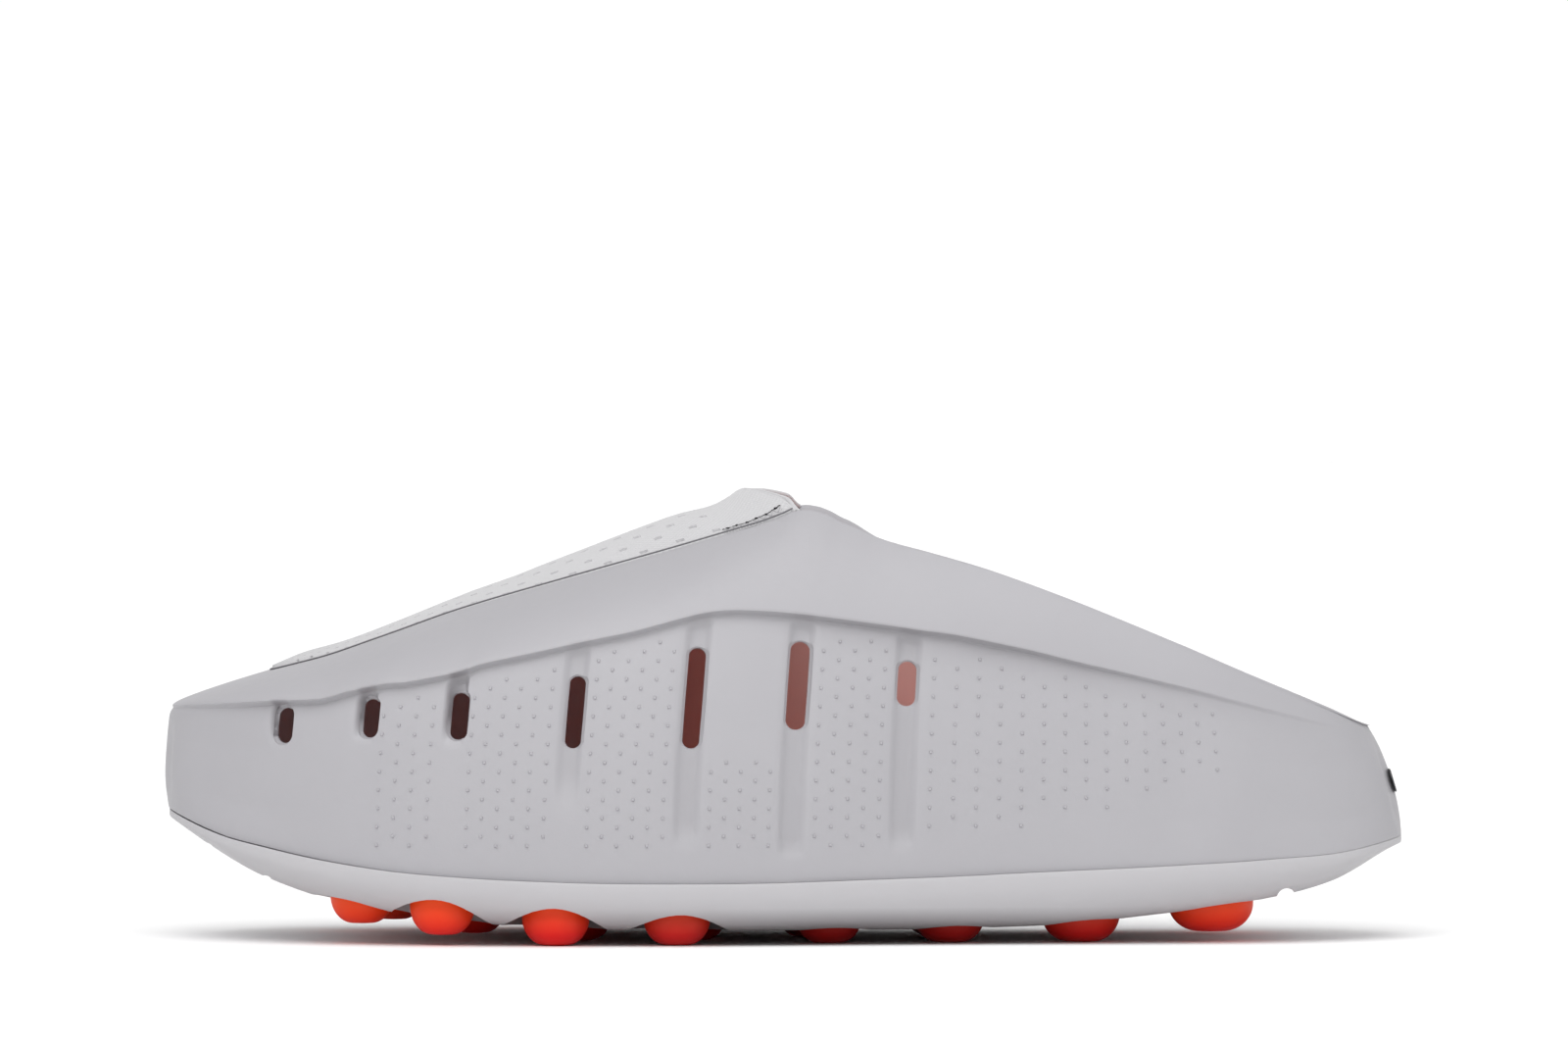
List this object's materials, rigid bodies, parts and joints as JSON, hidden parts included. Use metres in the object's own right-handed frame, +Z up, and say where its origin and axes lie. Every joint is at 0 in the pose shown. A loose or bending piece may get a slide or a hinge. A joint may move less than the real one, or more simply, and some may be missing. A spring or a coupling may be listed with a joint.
{
  "type": "sneaker mule",
  "caption": "Backless foam sneaker mule: vented moulded foam shell, textile vamp, foam base and round walking studs.",
  "frame": {"origin": "centre of the footprint's box, on the floor that the studs stand on", "axes": "-X to the toe and +X to the heel, -Y to the outer side of the foot, +Z up"},
  "size_m": [0.3001, 0.1159, 0.109],
  "materials": {
    "shell_foam": "pale grey moulded foam, satin",
    "vamp_textile": "pale grey perforated textile",
    "base_foam": "pale grey moulded foam, smooth",
    "stud_foam": "bright orange-red, smooth",
    "footbed_textile": "orange-red textile",
    "badge_rubber": "plain dark pill"
  },
  "bodies": {
    "root": {"upper": "shell_foam", "vamp": "vamp_textile", "throat_binding": "vamp_textile", "outsole": "base_foam", "insole": "footbed_textile", "stud_01": "stud_foam", "stud_02": "stud_foam", "stud_03": "stud_foam", "stud_04": "stud_foam", "stud_05": "stud_foam", "stud_06": "stud_foam", "stud_07": "stud_foam", "stud_08": "stud_foam", "stud_09": "stud_foam", "stud_10": "stud_foam", "stud_11": "stud_foam", "stud_12": "stud_foam", "stud_13": "stud_foam", "stud_14": "stud_foam", "stud_15": "stud_foam", "stud_16": "stud_foam", "stud_17": "stud_foam", "stud_18": "stud_foam", "stud_19": "stud_foam", "stud_20": "stud_foam", "stud_21": "stud_foam", "stud_22": "stud_foam", "heel_badge": "badge_rubber"}
  },
  "joints": []
}
